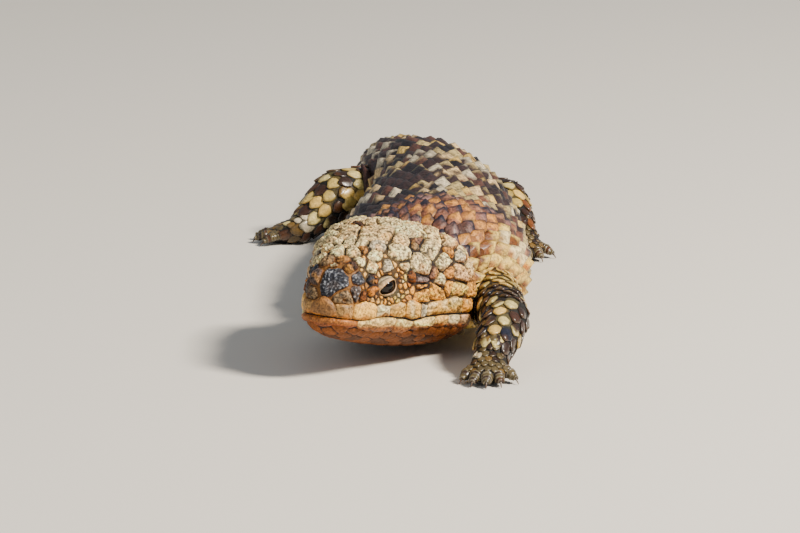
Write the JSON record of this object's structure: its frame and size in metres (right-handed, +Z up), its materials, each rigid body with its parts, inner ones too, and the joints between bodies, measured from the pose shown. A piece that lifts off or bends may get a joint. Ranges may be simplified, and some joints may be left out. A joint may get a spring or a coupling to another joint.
{
  "type": "shingleback lizard",
  "caption": "Life-size model of a shingleback lizard, standing with its head turned, heavy overlapping scutes, a broad head and a short stumpy tail.",
  "frame": {"origin": "on the floor, under the middle of the whole animal's bounding box", "axes": "+Z up, the head end towards -Y and the tail towards +Y, the animal's left side towards +X"},
  "size_m": [0.0976, 0.2874, 0.039],
  "materials": {
    "skin": "satin horny scutes, brown with cream bands",
    "head": "matte cream and orange-brown shields",
    "jaw": "satin orange-brown scales",
    "limb": "satin dark brown scales with cream spots",
    "eye": "wet gloss"
  },
  "bodies": {
    "root": {"eye_left": "eye", "eye_right": "eye", "front_left_foot": "limb", "front_left_lower": "limb", "front_left_upper": "limb", "front_right_foot": "limb", "front_right_lower": "limb", "front_right_upper": "limb", "head": "head", "hind_left_foot": "limb", "hind_left_lower": "limb", "hind_left_upper": "limb", "hind_right_foot": "limb", "hind_right_lower": "limb", "hind_right_upper": "limb", "lower_jaw": "jaw", "neck": "skin", "tail": "skin", "torso": "skin"}
  },
  "joints": []
}
